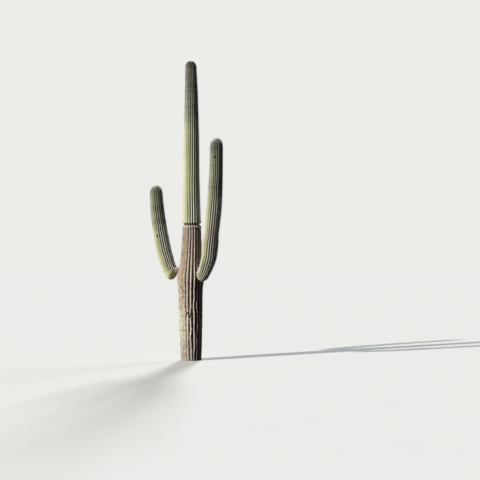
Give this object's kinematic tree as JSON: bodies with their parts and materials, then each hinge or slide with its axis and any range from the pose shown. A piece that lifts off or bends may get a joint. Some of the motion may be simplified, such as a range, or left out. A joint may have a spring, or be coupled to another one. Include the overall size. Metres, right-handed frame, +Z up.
{
  "type": "saguaro cactus",
  "caption": "Tall columnar desert cactus with a ribbed, spiny trunk pinched by an old frost ring, and arms that bend upward beside it.",
  "frame": {"origin": "middle of the flat cut under the trunk, at ground level", "axes": "+Z up along the trunk, -Y towards the side the picture shows, +X to that view's right"},
  "size_m": [1.9107, 1.6443, 7.6],
  "materials": {
    "trunk_skin": "matte, waxy green skin, corky tan below the frost ring",
    "arm_skin": "matte, waxy pale green skin"
  },
  "bodies": {
    "root": {"trunk": "trunk_skin", "left_arm_bend": "arm_skin", "left_arm": "arm_skin", "right_arm_bend": "arm_skin", "right_arm": "arm_skin"}
  },
  "joints": []
}
